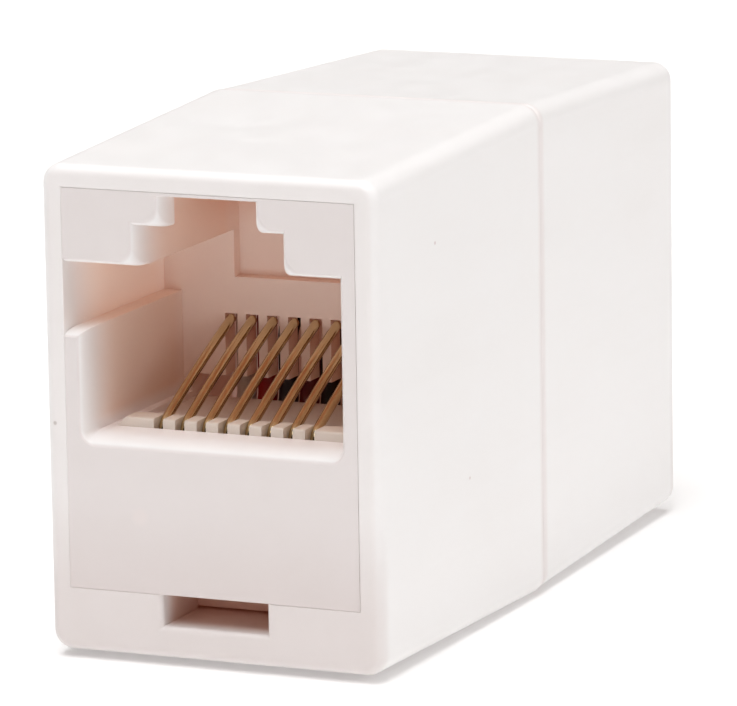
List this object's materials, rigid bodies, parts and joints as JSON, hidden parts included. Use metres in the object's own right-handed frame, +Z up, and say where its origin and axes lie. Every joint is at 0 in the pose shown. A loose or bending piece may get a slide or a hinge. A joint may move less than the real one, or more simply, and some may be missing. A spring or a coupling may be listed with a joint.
{
  "type": "rj45 inline coupler",
  "caption": "ivory plastic inline coupler with a keyed modular socket in each end of a tapered split housing",
  "frame": {"origin": "under the seam between the two halves, at the bottom and centre of the overall box", "axes": "+X across the sockets to the right when looking into the front socket, +Y along the coupler from the front socket to the rear socket, +Z up"},
  "size_m": [0.0162, 0.0356, 0.0222],
  "materials": {
    "housing_plastic": "ivory, satin moulded",
    "jack_plastic": "ivory, satin moulded",
    "carrier_plastic": "pale greenish ivory, satin moulded",
    "contact_gold": "gold plated",
    "splice_tin": "tinned",
    "lead_brown": "insulation",
    "lead_red": "insulation",
    "lead_black": "insulation",
    "lead_maroon": "insulation",
    "lead_orange": "insulation",
    "lead_white": "insulation"
  },
  "bodies": {
    "root": {"front_shell": "housing_plastic", "rear_shell": "housing_plastic", "front_jack_body": "jack_plastic", "rear_jack_body": "jack_plastic", "front_contact_carrier": "carrier_plastic", "rear_contact_carrier": "carrier_plastic", "front_contact_1": "contact_gold", "front_contact_2": "contact_gold", "front_contact_3": "contact_gold", "front_contact_4": "contact_gold", "front_contact_5": "contact_gold", "front_contact_6": "contact_gold", "front_contact_7": "contact_gold", "front_contact_8": "contact_gold", "rear_contact_1": "contact_gold", "rear_contact_2": "contact_gold", "rear_contact_3": "contact_gold", "rear_contact_4": "contact_gold", "rear_contact_5": "contact_gold", "rear_contact_6": "contact_gold", "rear_contact_7": "contact_gold", "rear_contact_8": "contact_gold", "lead_1": "lead_white", "lead_2": "lead_red", "lead_3": "lead_black", "lead_4": "lead_maroon", "lead_5": "lead_black", "lead_6": "lead_orange", "lead_7": "lead_red", "lead_8": "lead_brown", "front_splice_1": "splice_tin", "front_splice_2": "splice_tin", "front_splice_3": "splice_tin", "front_splice_4": "splice_tin", "front_splice_5": "splice_tin", "front_splice_6": "splice_tin", "front_splice_7": "splice_tin", "front_splice_8": "splice_tin", "rear_splice_1": "splice_tin", "rear_splice_2": "splice_tin", "rear_splice_3": "splice_tin", "rear_splice_4": "splice_tin", "rear_splice_5": "splice_tin", "rear_splice_6": "splice_tin", "rear_splice_7": "splice_tin", "rear_splice_8": "splice_tin"}
  },
  "joints": []
}
